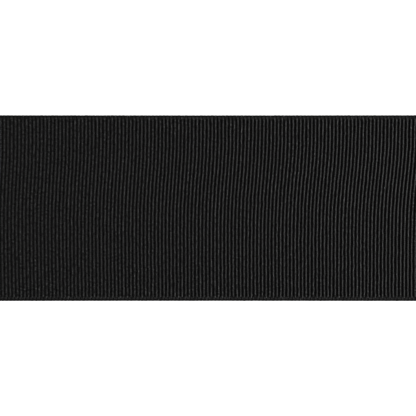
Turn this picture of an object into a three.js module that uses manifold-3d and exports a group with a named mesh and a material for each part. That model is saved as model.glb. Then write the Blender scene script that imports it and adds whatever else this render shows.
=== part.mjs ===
import * as THREE from 'three';
import { mergeVertices } from 'three/addons/utils/BufferGeometryUtils.js';
import Module from 'manifold-3d';

// A flat cut length of grosgrain ribbon, woven in one piece with its two selvedges.
// Millimetres. +X runs along the ribbon, +Y across it and +Z up. The rib crests of the underside lie
// on Z = 0, and the origin is in the middle of that underside.

// The ribbon as woven and cut
const WIDTH = 38;
const RIBS_IN_ONE_WIDTH = 50.5;
const RIB_PITCH = WIDTH / RIBS_IN_ONE_WIDTH;
const RIB_COUNT = 160;
const LENGTH = RIB_COUNT * RIB_PITCH;
const THICKNESS = 1;

// Ribs: flat-topped crests on both faces with V grooves between them
const GROOVE_DEPTH = 0.17;
const CREST_SHARE = 0.36;

// Selvedges: the ribs fade out in them, and they thin to a scalloped edge
const SELVEDGE_WIDTH = 0.7;
const EDGE_INSET = 0.24;
const SCALLOP_DEPTH = 0.06;

// The ribs' soft S: the +Y side lies further along +X than the -Y side
const LEAN_SHIFT = 1.19;
const LEAN_GROWTH = 0.00475;
const LEAN_MIDDLE_Y = 5.75;
const LEAN_RUN = 6.7;
const TURN = -0.0076;
const TURN_GROWTH = 0.00026;

// The web is woven a few ribs longer than it is wanted and then cut straight across, each cut on the
// flank of a rib: the grooves lie this share of a pitch further along +X than the cuts
const SPARE_RIBS = 3;
const GROOVE_PHASE = 0.25;
const CUT_CLEARANCE = 5;

const BLACK_POLYESTER = new THREE.MeshStandardMaterial({ color: 0x1d1d1e, roughness: 0.72, metalness: 0 });

// One rib in section: where each line of points lies in the pitch, and its height, 0 in the groove
const RIB_SECTION = [
  { line: 'groove', at: 0, height: 0 },
  { line: 'crest start', at: (1 - CREST_SHARE) / 2, height: 1 },
  { line: 'crest end', at: (1 + CREST_SHARE) / 2, height: 1 },
];

// The rows of points across the ribbon: how much of the rib relief is left, and how far the face is
// drawn in from the crests
const ROWS = [
  { row: 'edge', y: -WIDTH / 2, relief: 0, inset: EDGE_INSET },
  { row: 'selvedge', y: SELVEDGE_WIDTH - WIDTH / 2, relief: 1, inset: 0 },
  { row: 'foot of the S', y: LEAN_MIDDLE_Y - LEAN_RUN, relief: 1, inset: 0 },
  { row: 'head of the S', y: LEAN_MIDDLE_Y + LEAN_RUN / 2, relief: 1, inset: 0 },
  { row: 'selvedge', y: WIDTH / 2 - SELVEDGE_WIDTH, relief: 1, inset: 0 },
  { row: 'edge', y: WIDTH / 2, relief: 0, inset: EDGE_INSET },
];

// How far a rib lies along +X of its straight place, for the rib at station x, at height y across
function lean(x, y) {
  const rise = (1 + Math.tanh((y - LEAN_MIDDLE_Y) / LEAN_RUN)) / 2;
  return (LEAN_SHIFT + LEAN_GROWTH * x) * rise + (TURN + TURN_GROWTH * x) * y;
}

// Every line of points along the web, from its first groove to its last
function ribLines() {
  const ribs = RIB_COUNT + 2 * SPARE_RIBS;
  const firstGroove = GROOVE_PHASE - ribs / 2;
  const lines = [];
  for (let rib = 0; rib < ribs; rib += 1) {
    for (const { at, height } of RIB_SECTION) {
      lines.push({ x: (firstGroove + rib + at) * RIB_PITCH, height });
    }
  }
  lines.push({ x: (firstGroove + ribs) * RIB_PITCH, height: RIB_SECTION[0].height });
  return lines;
}

// The point of one face, +1 for the top and -1 for the underside, where a line crosses a row
function facePoint(line, row, side) {
  const isEdge = row.relief === 0;
  const scallop = isEdge ? SCALLOP_DEPTH * (1 - line.height) * Math.sign(row.y) : 0;
  const groove = GROOVE_DEPTH * (1 - line.height) * row.relief;
  const z = THICKNESS / 2 + side * (THICKNESS / 2 - groove - row.inset);
  return [line.x + lean(line.x, row.y), row.y - scallop, z];
}

// The uncut web: both faces, the two selvedge edges between them and the two raw ends
function weaveWeb() {
  const lines = ribLines();
  const points = [];
  for (const side of [1, -1]) {
    for (const row of ROWS) {
      for (const line of lines) {
        points.push(...facePoint(line, row, side));
      }
    }
  }
  const rowLength = lines.length;
  const faceLength = ROWS.length * rowLength;
  const lastLine = rowLength - 1;
  const lastRow = ROWS.length - 1;
  const top = (row, line) => row * rowLength + line;
  const under = (row, line) => faceLength + top(row, line);
  const triangles = [];
  const quad = (a, b, c, d) => triangles.push(a, b, c, a, c, d);
  for (let row = 0; row < lastRow; row += 1) {
    for (let line = 0; line < lastLine; line += 1) {
      quad(top(row, line), top(row, line + 1), top(row + 1, line + 1), top(row + 1, line));
      quad(under(row, line), under(row + 1, line), under(row + 1, line + 1), under(row, line + 1));
    }
    quad(top(row, 0), top(row + 1, 0), under(row + 1, 0), under(row, 0));
    quad(top(row, lastLine), under(row, lastLine), under(row + 1, lastLine), top(row + 1, lastLine));
  }
  for (let line = 0; line < lastLine; line += 1) {
    quad(top(0, line), under(0, line), under(0, line + 1), top(0, line + 1));
    quad(top(lastRow, line), top(lastRow, line + 1), under(lastRow, line + 1), under(lastRow, line));
  }
  const geometry = new THREE.BufferGeometry();
  geometry.setAttribute('position', new THREE.Float32BufferAttribute(points, 3));
  geometry.setIndex(triangles);
  return geometry;
}

const wasm = await Module();
wasm.setup();

function toSolid(geometry) {
  const bare = geometry.clone();
  bare.deleteAttribute('normal');
  bare.deleteAttribute('uv');
  const merged = mergeVertices(bare);
  const vertProperties = new Float32Array(merged.attributes.position.array);
  const triVerts = new Uint32Array(merged.index.array);
  return new wasm.Manifold(new wasm.Mesh({ numProp: 3, vertProperties, triVerts }));
}

function toGeometry(solid) {
  const mesh = solid.getMesh();
  const geometry = new THREE.BufferGeometry();
  geometry.setAttribute('position', new THREE.BufferAttribute(mesh.vertProperties, 3));
  geometry.setIndex(new THREE.BufferAttribute(mesh.triVerts, 1));
  geometry.computeVertexNormals();
  return geometry;
}

// The two straight cuts across the web
function cutToLength(web) {
  const kept = new THREE.BoxGeometry(LENGTH, WIDTH + 2 * CUT_CLEARANCE, THICKNESS + 2 * CUT_CLEARANCE);
  kept.translate(0, 0, THICKNESS / 2);
  return toGeometry(toSolid(web).intersect(toSolid(kept)));
}

const ribbon = new THREE.Mesh(cutToLength(weaveWeb()), BLACK_POLYESTER);
ribbon.name = 'ribbon';

const part = new THREE.Group();
part.add(ribbon);

export default part;
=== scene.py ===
"""A flat cut length of black grosgrain ribbon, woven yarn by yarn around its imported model.

Metres, in the model's own frame: +X runs along the ribbon, +Y across it from selvedge to selvedge and
+Z up. The ribbon lies on Z = 0. A place along the ribbon is also counted in ribs, from the first groove
of a web that is woven a few ribs longer than it is wanted.
"""

import logging
import math
from dataclasses import dataclass, field
from enum import Enum
from typing import NamedTuple

import bmesh
import bpy
import numpy as np
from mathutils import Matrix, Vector


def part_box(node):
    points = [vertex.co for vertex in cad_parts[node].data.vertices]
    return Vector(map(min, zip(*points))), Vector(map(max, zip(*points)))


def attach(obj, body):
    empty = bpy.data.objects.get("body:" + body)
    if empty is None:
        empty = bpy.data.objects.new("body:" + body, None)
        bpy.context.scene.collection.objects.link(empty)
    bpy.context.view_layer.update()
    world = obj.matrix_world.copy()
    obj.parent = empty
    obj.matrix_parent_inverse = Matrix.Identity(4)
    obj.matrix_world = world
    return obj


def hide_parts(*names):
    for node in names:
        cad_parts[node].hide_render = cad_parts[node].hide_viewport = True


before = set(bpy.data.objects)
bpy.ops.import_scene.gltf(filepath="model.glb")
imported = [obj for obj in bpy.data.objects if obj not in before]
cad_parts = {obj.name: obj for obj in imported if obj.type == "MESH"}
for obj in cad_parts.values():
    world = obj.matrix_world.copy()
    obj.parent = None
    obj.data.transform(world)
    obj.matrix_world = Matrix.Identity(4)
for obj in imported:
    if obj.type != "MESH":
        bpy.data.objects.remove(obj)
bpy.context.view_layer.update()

LOG = logging.getLogger("grosgrain")
MM = 0.001
NODE = "ribbon"
WEAVE_MAP = "weave"
CHANCE_MAP = "chance"
BAKE_MAP = "OFBake"
YARN_SLOT, CUT_SLOT = 0, 1
WARP_BANDS = 4
WHITE = (1.0, 1.0, 1.0, 1.0)

# The share of its strip of the bake map that a yarn leaves free on each side
BAKE_MARGIN = 0.05

# A ring nearer to a cut than this is left out, so that no sliver stands beside the cut
CUT_CLEAR = 0.02 * MM

# A point of a weft cord that is nearer to a cut than this counts as lying on it
CUT_TOLERANCE = 0.00002 * MM

# How fast the left end's look, its painted fill light and its duller yarn, fades towards the right end, as
# a power
LEFT_FADE = 2.0

# The shine falls with the fourth power of the roughness, so the roughness goes with this power of it
SHINE_POWER = -0.25


@dataclass(frozen=True)
class RibLean:
    """The soft S in which the ribs lie, as an offset along +X from a straight rib.

    Attributes:
        shift: how far the back of a rib lies along +X of its front.
        growth: how much that shift grows with X.
        middle_y: where across the ribbon the S is steepest.
        run: half the width over which it rises.
        turn: the slope of the ribs as a whole.
        turn_growth: how much that slope grows with X, in each metre.
        closing: how much closer the ribs lie to each side of the middle, in each metre.
    """

    shift: float = 1.19 * MM
    growth: float = 0.00475
    middle_y: float = 5.75 * MM
    run: float = 6.7 * MM
    turn: float = -0.0076
    turn_growth: float = 0.26
    closing: float = -0.08

    def offset(self, x: np.ndarray, y: float | np.ndarray) -> np.ndarray:
        """How far along +X a rib's line lies.

        Args:
            x: the rib's straight place along the ribbon.
            y: the place across the ribbon.

        Returns:
            The offsets, one for each place.
        """
        rise = (1 + np.tanh((y - self.middle_y) / self.run)) / 2
        bow = (self.shift + self.growth * x) * rise
        return bow + (self.turn + self.turn_growth * x) * y + self.closing * x * x


@dataclass(frozen=True)
class Weave:
    """The sizes of the cloth that all its yarns share.

    Attributes:
        length: the ribbon's length between its cuts.
        width: its width over the selvedges.
        rib_count: the ribs between the cuts.
        spare_ribs: the ribs woven past each cut.
        groove_phase: the share of a pitch from a cut to the groove after it.
        thickness: the cloth's thickness over its ribs.
        cut_step: how much further back each next kind of yarn springs from the shears.
        warp_ends: the lengthwise yarns between the selvedges.
        warp_half: half the width that they fill.
        waist: how far the edges swing in and out.
        waist_run: the length of one such swing.
        lean: the soft S of the ribs.
    """

    length: float
    width: float
    rib_count: int = 160
    spare_ribs: int = 3
    groove_phase: float = 0.25
    thickness: float = 0.6 * MM
    cut_step: float = 0.02 * MM
    warp_ends: int = 190
    warp_half: float = 18.30 * MM
    waist: float = 0.010 * MM
    waist_run: float = 86 * MM
    lean: RibLean = field(default_factory=RibLean)

    @property
    def pitch(self) -> float:
        """The distance from rib to rib."""
        return self.length / self.rib_count

    @property
    def picks(self) -> int:
        """The ribs of the uncut web."""
        return self.rib_count + 2 * self.spare_ribs

    @property
    def end_pitch(self) -> float:
        """The distance from warp end to warp end."""
        return 2 * self.warp_half / self.warp_ends

    def end_place(self, end: int) -> float:
        """The place across the ribbon of a warp end."""
        return (end + 0.5) * self.end_pitch - self.warp_half

    def nearest_end(self, y: np.ndarray) -> np.ndarray:
        """The number of the warp end that lies nearest to a place across the ribbon."""
        end = np.round((y + self.warp_half) / self.end_pitch - 0.5).astype(int)
        return np.clip(end, 0, self.warp_ends - 1)

    def lie(self, ribs: np.ndarray, y: float | np.ndarray) -> np.ndarray:
        """Finds where a line of the weave lies along X.

        Args:
            ribs: the line's place in ribs.
            y: the place across the ribbon.

        Returns:
            The places along X, with the ribs' lean.
        """
        straight = (self.groove_phase - self.picks / 2 + ribs) * self.pitch
        return straight + self.lean.offset(straight, y)

    def cut_at(self, steps: int) -> float:
        """How far from the middle a yarn is cut that springs back from the shears by some steps."""
        return self.length / 2 - steps * self.cut_step

    def drawn_in(self, x: np.ndarray, y: float | np.ndarray) -> np.ndarray:
        """Moves a place across the ribbon with the slow swing of its two edges."""
        return y * (1 - self.waist * np.cos(2 * math.pi * x / self.waist_run) / (self.width / 2))

    @classmethod
    def from_frame(cls) -> "Weave":
        """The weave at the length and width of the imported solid."""
        low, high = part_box(NODE)
        return cls(length=high.x - low.x, width=high.y - low.y)


def blurred(values: np.ndarray, reach: tuple[float, float]) -> np.ndarray:
    """Spreads the values of a grid over their neighbours.

    Args:
        values: the grid.
        reach: how far they are spread down the rows and along the columns, in grid steps.

    Returns:
        The blurred grid.
    """
    down = np.fft.fftfreq(values.shape[0])[:, None] * reach[0]
    along = np.fft.rfftfreq(values.shape[1])[None, :] * reach[1]
    waves = np.fft.rfft2(values) * np.exp(-2 * math.pi**2 * (down**2 + along**2))
    return np.fft.irfft2(waves, s=values.shape)


def soft_noise(
    rng: np.random.Generator, shape: tuple[int, int], reach: tuple[float, float]
) -> np.ndarray:
    """Makes seeded noise that changes smoothly over a grid.

    Args:
        rng: the seeded source.
        shape: the grid's rows and columns.
        reach: how far the noise is spread down the rows and along the columns, in grid steps.

    Returns:
        The noise, with a mean of 0 and a spread of 1.
    """
    noise = blurred(rng.standard_normal(shape), reach)
    return (noise - noise.mean()) / noise.std()


def lively_noise(
    rng: np.random.Generator, shape: tuple[int, int], reach: tuple[float, float]
) -> np.ndarray:
    """Makes seeded noise that jumps from float to float but evens out over its neighbours.

    Args:
        rng: the seeded source.
        shape: the grid's warp ends and ribs.
        reach: how many of each the noise evens out over.

    Returns:
        The noise, with a spread of 1.
    """
    noise = rng.standard_normal(shape)
    end, rib = np.indices(shape)
    upper = (end + rib) % 2 == 0
    for face in (upper, ~upper):
        mean = blurred(noise * face, reach) / blurred(face.astype(float), reach)
        noise = np.where(face, noise - mean, noise)
    return noise / noise.std()


@dataclass(frozen=True)
class Slack:
    """How much the yarns may stray: the usual size of each kind of unevenness.

    Attributes:
        slow_sway: the ribs' slow wander along the ribbon.
        slow_reach: how many warp ends and ribs that wander runs over.
        quick_sway: their quick wander.
        quick_reach: how many warp ends and ribs the quick wander runs over.
        jog: one float's own shift along the ribbon.
        slow_lift: the slow swing of the floats' height.
        lift_reach: how many warp ends and ribs that swing runs over.
        quick_lift: one float's own height.
        roll: one float's twist, at the left end of the web and at the right end.
        sink: how far off the middle of the cloth a warp end crosses to the other face.
        chance: one float's own look, at the left end of the web and at the right end.
        even_reach: how many warp ends and ribs the floats' own unevenness evens out over.
    """

    slow_sway: float = 0.013 * MM
    slow_reach: tuple[float, float] = (2.8, 1.2)
    quick_sway: float = 0.019 * MM
    quick_reach: tuple[float, float] = (0.9, 0.2)
    jog: float = 0.024 * MM
    slow_lift: float = 0.002 * MM
    lift_reach: tuple[float, float] = (6.0, 0.3)
    quick_lift: float = 0.008 * MM
    roll: tuple[float, float] = (math.radians(3.0), math.radians(1.5))
    sink: float = 0.04 * MM
    chance: tuple[float, float] = (0.28, 0.21)
    even_reach: tuple[float, float] = (2.0, 0.55)


@dataclass(frozen=True)
class Looseness:
    """How far the weave strays from an even one: a value for each warp end, on each rib.

    Attributes:
        sway: the ribs' own shift along the ribbon.
        jog: one float's further shift along it.
        lift: how far off its even height a float lies.
        roll: one float's twist.
        sink: how far over the middle of the cloth a warp end crosses to the other face, in each groove.
        chance: one float's own look, from 0 to 1.
    """

    sway: np.ndarray
    jog: np.ndarray
    lift: np.ndarray
    roll: np.ndarray
    sink: np.ndarray
    chance: np.ndarray

    @classmethod
    def drawn(cls, weave: Weave, slack: Slack, seed: int = 38) -> "Looseness":
        """Draws the values.

        Args:
            weave: the sizes of the cloth.
            slack: how much the yarns may stray.
            seed: the seed of all the draws.

        Returns:
            The looseness of the whole web.
        """
        rng = np.random.default_rng(seed)
        grid = (weave.warp_ends, weave.picks)
        slow_sway = soft_noise(rng, grid, slack.slow_reach) * slack.slow_sway
        quick_sway = soft_noise(rng, grid, slack.quick_reach) * slack.quick_sway
        slow_lift = soft_noise(rng, grid, slack.lift_reach) * slack.slow_lift
        look = lively_noise(rng, grid, slack.even_reach)
        return cls(
            sway=slow_sway + quick_sway,
            jog=rng.standard_normal(grid) * slack.jog,
            lift=slow_lift + rng.standard_normal(grid) * slack.quick_lift,
            roll=lively_noise(rng, grid, slack.even_reach) * np.linspace(*slack.roll, weave.picks),
            sink=lively_noise(rng, (grid[0], grid[1] + 1), slack.even_reach) * slack.sink,
            chance=np.clip(0.5 + look * np.linspace(*slack.chance, weave.picks), 0, 1),
        )


@dataclass
class Tube:
    """A closed yarn.

    Attributes:
        rings: the points round the yarn, ring by ring.
        ribs: each ring's place in the weave map, in ribs.
        chance: each ring's random value, from 0 to 1.
        share: each ring's share of the yarn's length.
        seam: where the yarn's seam lies across the weave map.
        wraps: how far one turn round the yarn goes across the weave map.
    """

    rings: np.ndarray
    ribs: np.ndarray
    chance: np.ndarray
    share: np.ndarray
    seam: float
    wraps: float = 1.0

    @staticmethod
    def faces(stations: int, around: int) -> tuple[np.ndarray, np.ndarray, np.ndarray]:
        """Lists the triangles of a tube, its caps last.

        Args:
            stations: the number of rings.
            around: the number of points in a ring.

        Returns:
            The ring and the spoke of each triangle's corners, and whether the triangle is on a cap.
        """
        ring, spoke = (a.ravel() for a in np.mgrid[: stations - 1, :around])
        spokes = np.arange(1, around - 1)
        near, far = 0 * spokes, 0 * spokes + stations - 1
        rings = [
            np.stack([ring, ring, ring + 1], -1),
            np.stack([ring, ring + 1, ring + 1], -1),
            np.stack([near, near, near], -1),
            np.stack([far, far, far], -1),
        ]
        turns = [
            np.stack([spoke, spoke + 1, spoke + 1], -1),
            np.stack([spoke, spoke + 1, spoke], -1),
            np.stack([0 * spokes, spokes + 1, spokes], -1),
            np.stack([0 * spokes, spokes, spokes + 1], -1),
        ]
        on_cap = np.repeat([False, True], [2 * len(ring), 2 * len(spokes)])
        return np.concatenate(rings), np.concatenate(turns), on_cap

    def cut(self, half_length: float) -> "Tube":
        """Cuts a tube that runs along X straight across at both ends.

        Args:
            half_length: how far from the middle each cut lies.

        Returns:
            The tube between the cuts.
        """
        x = self.rings[:, 0, 0]
        kept = np.flatnonzero(np.abs(x) < half_length - CUT_CLEAR)
        wholes = (self.rings, self.ribs, self.chance, self.share)
        ends = []
        for inner, way in ((kept[0], -1), (kept[-1], 1)):
            outer = inner + way
            part = (way * half_length - x[outer]) / (x[inner] - x[outer])
            ends.append([whole[outer] + part * (whole[inner] - whole[outer]) for whole in wholes])
        cut = [
            np.concatenate([near[None], whole[kept], far[None]])
            for near, whole, far in zip(ends[0], wholes, ends[1])
        ]
        return Tube(*cut, self.seam, self.wraps)


def join_tubes(name: str, tubes: list[Tube], flat_sided: bool = False) -> bpy.types.Object:
    """Joins yarns into one mesh object, round on their sides and flat on their caps.

    Args:
        name: the object's name.
        tubes: the yarns, side by side.
        flat_sided: whether the lines along the yarns are sharp.

    Returns:
        The object, linked to the scene, with its weave map, its chance map and its bake map.
    """
    points, corners, caps, weave_map, chance_map, bake_map = [], [], [], [], [], []
    start = 0
    for number, tube in enumerate(tubes):
        stations, around = tube.rings.shape[:2]
        ring, spoke, on_cap = Tube.faces(stations, around)
        points.append(tube.rings.reshape(-1, 3))
        corners.append(start + ring * around + spoke % around)
        caps.append(on_cap)
        turn = spoke / around
        weave_map.append(np.stack([tube.ribs[ring], tube.seam + turn * tube.wraps], -1))
        chance_map.append(np.stack([tube.chance[ring], 0 * turn], -1))
        strip = BAKE_MARGIN + (1 - 2 * BAKE_MARGIN) * turn
        bake_map.append(np.stack([tube.share[ring], (number + strip) / len(tubes)], -1))
        start += stations * around
    vertices, triangles = np.concatenate(points), np.concatenate(corners)
    on_cap = np.concatenate(caps)
    mesh = bpy.data.meshes.new(name)
    mesh.vertices.add(len(vertices))
    mesh.vertices.foreach_set("co", vertices.astype(np.float32).ravel())
    mesh.loops.add(3 * len(triangles))
    mesh.loops.foreach_set("vertex_index", triangles.astype(np.int32).ravel())
    mesh.polygons.add(len(triangles))
    mesh.polygons.foreach_set("loop_start", np.arange(0, 3 * len(triangles), 3, dtype=np.int32))
    mesh.polygons.foreach_set("material_index", np.where(on_cap, CUT_SLOT, YARN_SLOT).astype(np.int32))
    mesh.polygons.foreach_set("use_smooth", ~on_cap)
    for title, pairs in ((WEAVE_MAP, weave_map), (CHANCE_MAP, chance_map), (BAKE_MAP, bake_map)):
        layer = mesh.uv_layers.new(name=title)
        layer.data.foreach_set("uv", np.concatenate(pairs).astype(np.float32).ravel())
    mesh.update(calc_edges=True)
    mesh.validate()
    if flat_sided:
        ends = np.empty(2 * len(mesh.edges), dtype=np.int32)
        mesh.edges.foreach_get("vertices", ends)
        ends = ends.reshape(-1, 2)
        sharp = np.abs(ends[:, 0] - ends[:, 1]) == tubes[0].rings.shape[1]
        mesh.edges.foreach_set("use_edge_sharp", sharp)
    made = bpy.data.objects.new(name, mesh)
    bpy.context.scene.collection.objects.link(made)
    return made


class NodeDesk:
    """A short way to add and link the nodes of one tree."""

    def __init__(self, tree: bpy.types.NodeTree) -> None:
        """Keeps the tree that the nodes go into."""
        self.tree = tree

    def add(self, kind: str, settings: dict[str, object] | None = None, **inputs: object) -> bpy.types.Node:
        """Adds a node.

        Args:
            kind: the node's type without the ShaderNode in front.
            settings: properties of the node.
            **inputs: values or sockets for its inputs, spaces in their names written as _.

        Returns:
            The node.
        """
        node = self.tree.nodes.new("ShaderNode" + kind)
        for name, value in (settings or {}).items():
            setattr(node, name, value)
        for name, value in inputs.items():
            self.feed(node.inputs[name.replace("_", " ")], value)
        return node

    def feed(self, socket: bpy.types.NodeSocket, value: object) -> None:
        """Links a socket to a socket, or sets it to a value.

        Args:
            socket: the input.
            value: the output that it is linked to, or its value.
        """
        if isinstance(value, bpy.types.NodeSocket):
            self.tree.links.new(value, socket)
        else:
            socket.default_value = value

    def math(self, operation: str, *terms: object, clamp: bool = False) -> bpy.types.NodeSocket:
        """Adds a Math node.

        Args:
            operation: the Math node's operation.
            *terms: its values or sockets, in order.
            clamp: whether the result is kept from 0 to 1.

        Returns:
            The result's socket.
        """
        node = self.tree.nodes.new("ShaderNodeMath")
        node.operation = operation
        node.use_clamp = clamp
        for socket, value in zip(node.inputs, terms):
            self.feed(socket, value)
        return node.outputs[0]


@dataclass(frozen=True)
class YarnNoise:
    """A noise pattern that runs with the yarns.

    Attributes:
        name: its output of the yarn_marks group.
        in_rib: its cells in a rib.
        around: its cells round a yarn.
        detail: how many finer layers it has.
        fineness: how strong each of them is, as a share of the one before.
    """

    name: str
    in_rib: float
    around: float
    detail: float
    fineness: float = 0.5


FILAMENTS = YarnNoise("Streak", in_rib=1.6, around=22.0, detail=2.0)
PATCHES = YarnNoise("Glint", in_rib=3.5, around=6.0, detail=1.0)


def yarn_marks_group(picks: int) -> bpy.types.NodeTree:
    """Builds the group that finds, from the weave map, what a point of a yarn looks like.

    Args:
        picks: the ribs of the uncut web.

    Returns:
        The node group, with the outputs Left (1 at the left end, fading to 0 at the right), Rise (0 in a
        groove to 1 on a rib), Streak (fine filaments) and Glint (small uneven patches).
    """
    tree = bpy.data.node_groups.new("yarn_marks", "ShaderNodeTree")
    tree.interface.new_socket("Weave", in_out="INPUT", socket_type="NodeSocketVector")
    for name in ("Left", "Rise", "Streak", "Glint"):
        tree.interface.new_socket(name, in_out="OUTPUT", socket_type="NodeSocketFloat")
    desk = NodeDesk(tree)
    place = desk.add("SeparateXYZ", Vector=tree.nodes.new("NodeGroupInput").outputs["Weave"])
    ribs, yarns = place.outputs["X"], place.outputs["Y"]
    flat = {"noise_dimensions": "2D"}
    out = tree.nodes.new("NodeGroupOutput")
    right = desk.math("DIVIDE", ribs, float(picks), clamp=True)
    desk.feed(out.inputs["Left"], desk.math("POWER", desk.math("SUBTRACT", 1.0, right), LEFT_FADE))
    in_rib = desk.math("MULTIPLY", desk.math("FRACT", ribs), math.pi)
    desk.feed(out.inputs["Rise"], desk.math("SINE", in_rib))
    for pattern in (FILAMENTS, PATCHES):
        along = desk.math("MULTIPLY", ribs, pattern.in_rib)
        around = desk.math("MULTIPLY", yarns, pattern.around)
        spot = desk.add("CombineXYZ", X=along, Y=around)
        noise = desk.add(
            "TexNoise",
            flat,
            Vector=spot.outputs[0],
            Scale=1.0,
            Detail=pattern.detail,
            Roughness=pattern.fineness,
        )
        desk.feed(out.inputs[pattern.name], noise.outputs["Fac"])
    return tree


@dataclass(frozen=True)
class BlackYarn:
    """The finish of black filament yarn.

    Attributes:
        name: the material's name.
        groove: the grey of the yarn in a groove, darker than on a rib: painted shade.
        crest: its grey on a rib.
        painted_left_fill: how much paler it is at the left end: a painted fill light over that end.
        chance_spread: how far the grey differs from float to float.
        glint_spread: how far it differs in small patches.
        dull: the roughness at the left end and at the right end.
        dull_groove: the share of that roughness in a groove.
        shine_chance: how far the shine differs from float to float.
        shine_glint: how far it differs in small patches.
        shine_least: the least share of the shine that these differences leave.
        specular: the strength of the gloss.
        filament_height: how high the single filaments stand.
    """

    name: str
    groove: float
    crest: float
    painted_left_fill: float = 0.0
    chance_spread: float = 0.4
    glint_spread: float = 0.0
    dull: tuple[float, float] = (0.715, 0.408)
    dull_groove: float = 1.0
    shine_chance: float = 0.3
    shine_glint: float = 0.0
    shine_least: float = 0.25
    specular: float = 0.5
    filament_height: float = 0.006 * MM

    def material(self, marks: bpy.types.NodeTree) -> bpy.types.Material:
        """Builds the material.

        Args:
            marks: the yarn_marks node group.

        Returns:
            The material.
        """
        made = bpy.data.materials.new(self.name)
        made.use_nodes = True
        made.node_tree.nodes.clear()
        desk = NodeDesk(made.node_tree)
        weave = desk.add("UVMap", {"uv_map": WEAVE_MAP})
        mark = dict(desk.add("Group", {"node_tree": marks}, Weave=weave.outputs["UV"]).outputs.items())
        chance = desk.add("UVMap", {"uv_map": CHANCE_MAP})
        mark["Chance"] = desk.add("SeparateXYZ", Vector=chance.outputs["UV"]).outputs["X"]
        streak = desk.math("MULTIPLY", mark["Streak"], self.filament_height / MM)
        shader = desk.add(
            "BsdfPrincipled",
            Base_Color=self.grey(desk, mark),
            Roughness=self.roughness(desk, mark),
            Specular_IOR_Level=self.specular,
            Normal=desk.add("Bump", Strength=1.0, Distance=MM, Height=streak).outputs[0],
        )
        desk.add("OutputMaterial", Surface=shader.outputs[0])
        return made

    def grey(self, desk: NodeDesk, mark: dict[str, bpy.types.NodeSocket]) -> bpy.types.NodeSocket:
        """Adds the nodes that mix the yarn's grey, with painted shade in its grooves and a painted fill
        light towards the left end.

        Args:
            desk: the material's nodes.
            mark: the sockets of what a point of the yarn looks like, by name.

        Returns:
            The colour's socket.
        """
        # Darker in the grooves and in the hollows between the edge turns than on the ribs: painted shade
        grey = desk.math("MULTIPLY_ADD", mark["Rise"], self.crest - self.groove, self.groove)
        # Paler towards the left end: a painted fill light
        grey = desk.math("MULTIPLY_ADD", mark["Left"], self.painted_left_fill, grey)
        uneven = desk.math(
            "MULTIPLY",
            self.spread(desk, mark["Chance"], self.chance_spread),
            self.spread(desk, mark["Glint"], self.glint_spread),
        )
        grey = desk.math("MULTIPLY", grey, uneven, clamp=True)
        return desk.add("CombineColor", Red=grey, Green=grey, Blue=grey).outputs[0]

    def roughness(self, desk: NodeDesk, mark: dict[str, bpy.types.NodeSocket]) -> bpy.types.NodeSocket:
        """Adds the nodes that set how dull the yarn is.

        Args:
            desk: the material's nodes.
            mark: the sockets of what a point of the yarn looks like, by name.

        Returns:
            The roughness's socket.
        """
        left, right = self.dull
        dull = desk.math("MULTIPLY_ADD", mark["Left"], left - right, right)
        by_rise = desk.math("MULTIPLY_ADD", mark["Rise"], 1 - self.dull_groove, self.dull_groove)
        shine = desk.math(
            "MULTIPLY",
            self.spread(desk, mark["Chance"], self.shine_chance),
            self.spread(desk, mark["Glint"], self.shine_glint),
        )
        uneven = desk.math("POWER", desk.math("MAXIMUM", shine, self.shine_least), SHINE_POWER)
        return desk.math("MULTIPLY", desk.math("MULTIPLY", dull, by_rise), uneven, clamp=True)

    def spread(self, desk: NodeDesk, mark: bpy.types.NodeSocket, amount: float) -> bpy.types.NodeSocket:
        """Turns a mark from 0 to 1 into a factor about 1, from 1 - amount to 1 + amount."""
        return desk.math("MULTIPLY_ADD", mark, 2 * amount, 1 - amount)


# The groove greys are darker than the crest greys as painted shade, and the warp's left end is paler as
# painted fill light
WARP_YARN = BlackYarn(
    "black_warp",
    groove=0.003,
    crest=0.005,
    painted_left_fill=0.004,
    chance_spread=0.9,
    glint_spread=5.0,
    dull_groove=0.65,
    shine_chance=0.9,
    shine_glint=1.4,
)
WEFT_YARN = BlackYarn("black_weft", groove=0.002, crest=0.003, dull=(0.7, 0.7), specular=0.05)
EDGE_YARN = BlackYarn(
    "black_edge_turns",
    groove=0.003,
    crest=0.005,
    chance_spread=0.5,
    glint_spread=3.0,
    dull=(0.45, 0.45),
    shine_chance=0.6,
    shine_glint=1.5,
    specular=0.21,
)
CUT_YARN = BlackYarn("black_cut_yarn", groove=0.008, crest=0.014, dull=(0.6, 0.6))


class Station(NamedTuple):
    """A place that a warp end runs through.

    Attributes:
        ribs: where it is along the web, in ribs.
        stray: how far along +X of its even place the yarn lies there.
        height: the yarn's height.
        roll: its twist.
        chance: its own look, from 0 to 1.
        floats: whether it is on a float, and not where the yarn crosses to the other face.
    """

    ribs: float
    stray: float
    height: float
    roll: float = 0.0
    chance: float = 0.5
    floats: bool = False


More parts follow.
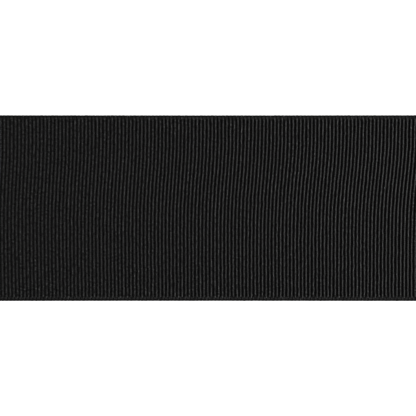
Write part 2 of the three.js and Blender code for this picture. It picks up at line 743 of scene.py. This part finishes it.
@dataclass
class WarpBand:
    """A band of warp ends, each a flat yarn that floats over one rib and dives under the next.

    Attributes:
        weave: the sizes of the cloth.
        looseness: how far its yarns stray.
        number: the band's number from the front.
        ends: its warp ends.
        finish: the finish of the yarns.
        cut_finish: the finish of their cut ends.
        float_half_width: half a float's width.
        float_half_height: half its thickness.
        dive_half_width: half the width of the yarn where it crosses to the other face.
        dive_half_height: half its thickness there.
        crown_share: how wide a float's outer face is, as a share of its inner face.
        shoulder: how far a float reaches to each side of its rib's middle, as a share of the pitch.
    """

    weave: Weave
    looseness: Looseness
    number: int
    ends: list[int]
    finish: BlackYarn = WARP_YARN
    cut_finish: BlackYarn = CUT_YARN
    float_half_width: float = 0.187 * MM
    float_half_height: float = 0.055 * MM
    dive_half_width: float = 0.104 * MM
    dive_half_height: float = 0.06 * MM
    crown_share: float = 0.8
    shoulder: float = 0.24

    def build(self, marks: bpy.types.NodeTree) -> bpy.types.Object:
        """Builds the dressed band.

        Args:
            marks: the yarn_marks node group.

        Returns:
            The band's object.
        """
        half = self.weave.cut_at(0)
        yarns = [self.warp_end(end).cut(half) for end in self.ends]
        band = join_tubes(f"warp_band_{self.number}", yarns, flat_sided=True)
        band.data.materials.append(self.finish.material(marks))
        band.data.materials.append(self.cut_finish.material(marks))
        return band

    def stations(self, end: int) -> list[Station]:
        """Lists the places that a warp end runs through: two on a top float, one on a float underneath.

        Args:
            end: its number from the front selvedge.

        Returns:
            The places, from the left end of the web to the right end.
        """
        weave, loose = self.weave, self.looseness
        sway = loose.sway[end]
        between = (np.append(sway[:1], sway) + np.append(sway, sway[-1:])) / 2
        crossing = weave.thickness / 2 + loose.sink[end]
        top = weave.thickness - self.float_half_height + loose.lift[end]
        under = self.float_half_height + np.abs(loose.lift[end])
        found = [Station(float(n), between[n], crossing[n]) for n in range(weave.picks + 1)]
        for n in range(weave.picks):
            over = (n + end) % 2 == 0
            stray = sway[n] + loose.jog[end, n]
            height = top[n] if over else under[n]
            for place in (0.5 - self.shoulder, 0.5 + self.shoulder) if over else (0.5,):
                own = Station(n + place, stray, height, loose.roll[end, n], loose.chance[end, n], True)
                found.append(own)
        return sorted(found, key=lambda station: station.ribs)

    def warp_end(self, end: int) -> Tube:
        """Lays one warp end through the web.

        Args:
            end: its number from the front selvedge.

        Returns:
            The uncut yarn.
        """
        weave = self.weave
        columns = (np.array(column) for column in zip(*self.stations(end)))
        ribs, stray, height, roll, chance, floats = columns
        y = weave.end_place(end)
        x = weave.lie(ribs, y) + stray
        y = weave.drawn_in(x, y)
        half_width = np.where(floats, self.float_half_width, self.dive_half_width)[:, None]
        half_height = np.where(floats, self.float_half_height, self.dive_half_height)[:, None]
        level = (height - weave.thickness / 2)[:, None]
        outward = np.where(level * np.array([1, 1, -1, -1]) > 0, self.crown_share, 1.0)
        aside = half_width * np.array([1, -1, -1, 1]) * outward
        up = half_height * np.array([1, 1, -1, -1])
        tilt = roll[:, None]
        rings = np.stack(
            [
                np.broadcast_to(x[:, None], aside.shape),
                y[:, None] + aside * np.cos(tilt) - up * np.sin(tilt),
                np.maximum(height[:, None] + aside * np.sin(tilt) + up * np.cos(tilt), 0),
            ],
            -1,
        )
        return Tube(rings, ribs, chance, x / weave.length + 0.5, float(end))


@dataclass
class WeftCords:
    """The thick weft cords, one in the heart of each rib, which turn back inside the selvedges.

    Attributes:
        weave: the sizes of the cloth.
        looseness: how far its yarns stray.
        finish: the finish of the cords.
        cut_finish: the finish of their cut ends.
        half_width: half a cord's width.
        half_height: half its thickness.
        reach: how far it runs to each side of the ribbon's middle.
        steps: the steps along a cord.
        around: the points in a ring.
    """

    weave: Weave
    looseness: Looseness
    finish: BlackYarn = WEFT_YARN
    cut_finish: BlackYarn = CUT_YARN
    half_width: float = 0.385 * MM
    half_height: float = 0.17 * MM
    reach: float = 18.35 * MM
    steps: int = 24
    around: int = 8

    def build(self, marks: bpy.types.NodeTree) -> bpy.types.Object:
        """Builds the dressed cords.

        Args:
            marks: the yarn_marks node group.

        Returns:
            The cords' object, cut to the ribbon's length.
        """
        cords = join_tubes("weft_cords", [self.cord(pick) for pick in range(self.weave.picks)])
        cords.data.materials.append(self.finish.material(marks))
        cords.data.materials.append(self.cut_finish.material(marks))
        self.cut_straight(cords)
        return cords

    def cord(self, pick: int) -> Tube:
        """Lays one weft cord across the web.

        Args:
            pick: its number from the left end of the web.

        Returns:
            The cord.
        """
        weave = self.weave
        y = np.linspace(-self.reach, self.reach, self.steps + 1)
        end = weave.nearest_end(y)
        x = weave.lie(pick + 0.5 + 0 * y, y) + self.looseness.sway[end, pick]
        angle = 2 * math.pi * np.arange(self.around)[None, :] / self.around
        rings = np.stack(
            [
                x[:, None] + self.half_width * np.sin(angle),
                np.broadcast_to(weave.drawn_in(x, y)[:, None], (len(y), self.around)),
                weave.thickness / 2 + self.half_height * np.cos(angle) + 0 * x[:, None],
            ],
            -1,
        )
        share = (y + self.reach) / (2 * self.reach)
        return Tube(rings, y / self.half_width, self.looseness.chance[end, pick], share, float(pick))

    def cut_straight(self, cords: bpy.types.Object) -> None:
        """Cuts the cords straight across the ribbon at both ends and closes the cuts.

        Args:
            cords: the cords' object, whose mesh is cut.
        """
        mesh = bmesh.new()
        mesh.from_mesh(cords.data)
        for way in (-1, 1):
            cut = bmesh.ops.bisect_plane(
                mesh,
                geom=mesh.verts[:] + mesh.edges[:] + mesh.faces[:],
                dist=CUT_TOLERANCE,
                plane_co=(way * self.weave.cut_at(2), 0, 0),
                plane_no=(way, 0, 0),
                clear_outer=True,
            )
            rim = [e for e in cut["geom_cut"] if isinstance(e, bmesh.types.BMEdge) and e.is_boundary]
            caps = bmesh.ops.holes_fill(mesh, edges=rim, sides=0)["faces"]
            for face in bmesh.ops.triangulate(mesh, faces=caps)["faces"]:
                face.material_index = CUT_SLOT
                face.smooth = False
        mesh.to_mesh(cords.data)
        mesh.free()


class Side(Enum):
    """The two long edges, by the sign of Y."""

    FRONT = -1
    BACK = 1


# How far the turns of each selvedge lean, as a share of the pitch
TURN_SLANT = {Side.FRONT: 0.35, Side.BACK: 0.12}


@dataclass
class Selvedge:
    """One woven edge: the outermost warp ends as a cord, bound by a turn of the weft at every rib.

    Attributes:
        weave: the sizes of the cloth.
        looseness: how far its yarns stray.
        side: which of the two edges this is.
        finish: the finish of the turns.
        cut_finish: the finish of the cut ends.
        proud: how far the turns stand past the ribbon's stated width.
        half_width: half the cord's width.
        half_height: half its thickness.
        roundness: how round the outer side is, at the left end and at the right end.
        least_roundness: the least that it is anywhere.
        inner_roundness: how round the inner side is.
        outer_bite: how much deeper the hollows between the turns are on the outer side.
        steps_in_rib: the steps in each rib.
        around: the points in a ring.
        turn_depth: the depth of those hollows.
        turn_fullness: how full the turns are between them, lower being fuller.
        scallop: how far the hollows draw the edge in.
        strands: the strands of a turn.
        strand_share: how deep the lines between the strands are, as a share of the hollows.
        wraps: how far one turn round the cord goes across the weave map.
    """

    weave: Weave
    looseness: Looseness
    side: Side
    finish: BlackYarn = EDGE_YARN
    cut_finish: BlackYarn = CUT_YARN
    proud: float = 0.088 * MM
    half_width: float = 0.50 * MM
    half_height: float = 0.25 * MM
    roundness: tuple[float, float] = (1.75, 0.0)
    least_roundness: float = 0.25
    inner_roundness: float = 0.5
    outer_bite: float = 1.5
    steps_in_rib: int = 16
    around: int = 16
    turn_depth: float = 0.09 * MM
    turn_fullness: float = 0.7
    scallop: float = 0.04 * MM
    strands: int = 3
    strand_share: float = 0.3
    wraps: float = 2.0

    def build(self, marks: bpy.types.NodeTree) -> bpy.types.Object:
        """Builds the dressed selvedge.

        Args:
            marks: the yarn_marks node group.

        Returns:
            The selvedge's object.
        """
        cord = join_tubes(f"selvedge_{self.side.name.lower()}", [self.cord().cut(self.weave.cut_at(1))])
        cord.data.materials.append(self.finish.material(marks))
        cord.data.materials.append(self.cut_finish.material(marks))
        return cord

    def cord(self) -> Tube:
        """Lays the bound edge along the web.

        Returns:
            The uncut cord.
        """
        weave = self.weave
        ribs = np.arange(weave.picks * self.steps_in_rib + 1) / self.steps_in_rib
        angle = 2 * math.pi * np.arange(self.around)[None, :] / self.around
        place = ribs[:, None] + TURN_SLANT[self.side] * np.sin(angle)
        turn = np.abs(np.sin(math.pi * place)) ** self.turn_fullness
        strand = np.abs(np.sin(self.strands * math.pi * place))
        hollow = 1 - turn + self.strand_share * (1 - strand)
        outermost = -1 if self.side is Side.BACK else 0
        swell = self.looseness.lift[outermost, np.clip(place.astype(int), 0, weave.picks - 1)] * turn
        chance = self.looseness.chance[outermost, np.clip(ribs.astype(int), 0, weave.picks - 1)]
        outward = self.side.value * np.cos(angle) > 0
        outer_roundness = np.maximum(np.linspace(*self.roundness, len(ribs)), self.least_roundness)
        roundness = np.where(outward, outer_roundness[:, None], self.inner_roundness)
        bite = 1 + self.outer_bite * np.where(outward, np.abs(np.cos(angle)), 0)
        aside, up = (np.sign(a) * np.abs(a) ** roundness for a in (np.cos(angle), np.sin(angle)))
        half_width = self.half_width - self.scallop * hollow + swell
        half_height = self.half_height - self.turn_depth * hollow * bite + swell
        centre = self.side.value * (weave.width / 2 + self.proud - self.half_width)
        x = weave.lie(ribs, centre + 0 * ribs)[:, None]
        y = weave.drawn_in(x, centre) + half_width * aside
        z = weave.thickness / 2 + half_height * up
        rings = np.stack([np.broadcast_to(x, y.shape), y, z], -1)
        return Tube(rings, ribs, chance, x[:, 0] / weave.length + 0.5, 0.0, self.wraps)


@dataclass(frozen=True)
class SoftLight:
    """A square soft light that looks at the ribbon.

    Attributes:
        name: the light's name.
        place: where it hangs.
        side: the length of its side.
        watts: its power.
    """

    name: str
    place: tuple[float, float, float]
    side: float
    watts: float

    def build(self) -> None:
        """Adds the light to the scene."""
        data = bpy.data.lights.new(self.name, "AREA")
        data.shape = "SQUARE"
        data.size = self.side
        data.energy = self.watts
        light = bpy.data.objects.new(self.name, data)
        light.location = self.place
        light.rotation_euler = (-Vector(self.place)).to_track_quat("-Z", "Y").to_euler()
        bpy.context.scene.collection.objects.link(light)


@dataclass
class Studio:
    """The pale floor, the soft lights and the camera straight above the ribbon.

    Attributes:
        weave: the sizes of the cloth.
        image_side: the picture's side in pixels.
        ribbon_pixels: how wide the ribbon is in the picture.
        centre_right_pixels: how far right of the picture's centre the ribbon's middle lies.
        centre_drop_pixels: how far below it.
        camera_height: how far the camera hangs above the cloth.
        sensor: the width of its sensor.
        floor_side: the side of the floor.
        floor_drop: how far the floor lies below the cloth.
        floor_grey: the floor's colour under the lights.
        floor_dull: its roughness.
        floor_gloss: the strength of its gloss.
        lights: the soft lights.
    """

    weave: Weave
    image_side: int = 416
    ribbon_pixels: float = 185.1
    centre_right_pixels: float = 0.17
    centre_drop_pixels: float = 0.12
    camera_height: float = 0.45
    sensor: float = 36 * MM
    floor_side: float = 6.0
    floor_drop: float = 0.01 * MM
    floor_grey: tuple[float, float, float, float] = (0.6, 0.6, 0.6, 1.0)
    floor_dull: float = 0.9
    floor_gloss: float = 0.1
    lights: tuple[SoftLight, ...] = (
        SoftLight("overhead", (0.0, 0.0, 1.3), 0.25, 6.9),
        SoftLight("front", (0.0, -1.5, 0.35), 0.6, 6.0),
        SoftLight("back", (0.0, 1.5, 0.35), 0.6, 6.0),
    )

    def build(self) -> None:
        """Builds the studio."""
        self.add_camera()
        self.add_floor()
        for light in self.lights:
            light.build()
        self.add_surroundings()

    def add_camera(self) -> None:
        """Adds the camera, with the ribbon as wide in the picture as in the photograph."""
        seen = self.weave.width * self.image_side / self.ribbon_pixels
        data = bpy.data.cameras.new("camera")
        data.sensor_width = self.sensor / MM
        data.lens = data.sensor_width * self.camera_height / seen
        data.clip_end = 2 * self.floor_side
        camera = bpy.data.objects.new("camera", data)
        pixel = seen / self.image_side
        camera.location = (
            -self.centre_right_pixels * pixel,
            self.centre_drop_pixels * pixel,
            self.weave.thickness / 2 + self.camera_height,
        )
        bpy.context.scene.collection.objects.link(camera)
        bpy.context.scene.camera = camera

    def add_floor(self) -> None:
        """Adds the plain pale floor, which looks white to the camera however little light it gets."""
        half = self.floor_side / 2
        mesh = bpy.data.meshes.new("floor")
        corners = [(x * half, y * half, -self.floor_drop) for x, y in ((-1, -1), (1, -1), (1, 1), (-1, 1))]
        mesh.from_pydata(corners, [], [(0, 1, 2, 3)])
        floor = bpy.data.objects.new("floor", mesh)
        bpy.context.scene.collection.objects.link(floor)
        made = bpy.data.materials.new("white_floor")
        made.use_nodes = True
        desk = NodeDesk(made.node_tree)
        shader = made.node_tree.nodes["Principled BSDF"]
        shader.inputs["Base Color"].default_value = self.floor_grey
        shader.inputs["Roughness"].default_value = self.floor_dull
        shader.inputs["Specular IOR Level"].default_value = self.floor_gloss
        shader.inputs["Emission Color"].default_value = WHITE
        ray = desk.add("LightPath")
        desk.feed(shader.inputs["Emission Strength"], ray.outputs["Is Camera Ray"])
        floor.data.materials.append(made)

    def add_surroundings(self) -> None:
        """Adds the surroundings, which are white to the camera and light nothing."""
        world = bpy.data.worlds.new("surroundings")
        world.use_nodes = True
        world.node_tree.nodes.clear()
        desk = NodeDesk(world.node_tree)
        ray = desk.add("LightPath")
        pale = desk.add("Background", Color=WHITE, Strength=ray.outputs["Is Camera Ray"])
        desk.add("OutputWorld", Surface=pale.outputs[0])
        bpy.context.scene.world = world
        bpy.context.scene.view_settings.view_transform = "Standard"


def dress(piece: bpy.types.Object) -> bpy.types.Object:
    """Lets a piece ride on the body, reports it and hands it back.

    Args:
        piece: the piece.

    Returns:
        The same piece.
    """
    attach(piece, "root")
    LOG.info("%s: %d faces", piece.name, len(piece.data.polygons))
    return piece


def main() -> None:
    """Builds the studio and the ribbon, piece by piece."""
    logging.basicConfig(level=logging.INFO, format="%(name)s: %(message)s")
    weave = Weave.from_frame()
    Studio(weave).build()
    marks = yarn_marks_group(weave.picks)
    looseness = Looseness.drawn(weave, Slack())
    cords = dress(WeftCords(weave, looseness).build(marks))
    for number, ends in enumerate(np.array_split(np.arange(weave.warp_ends), WARP_BANDS), start=1):
        dress(WarpBand(weave, looseness, number, ends.tolist()).build(marks))
    for side in Side:
        dress(Selvedge(weave, looseness, side).build(marks))
    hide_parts(NODE)


if __name__ == "__main__":
    main()
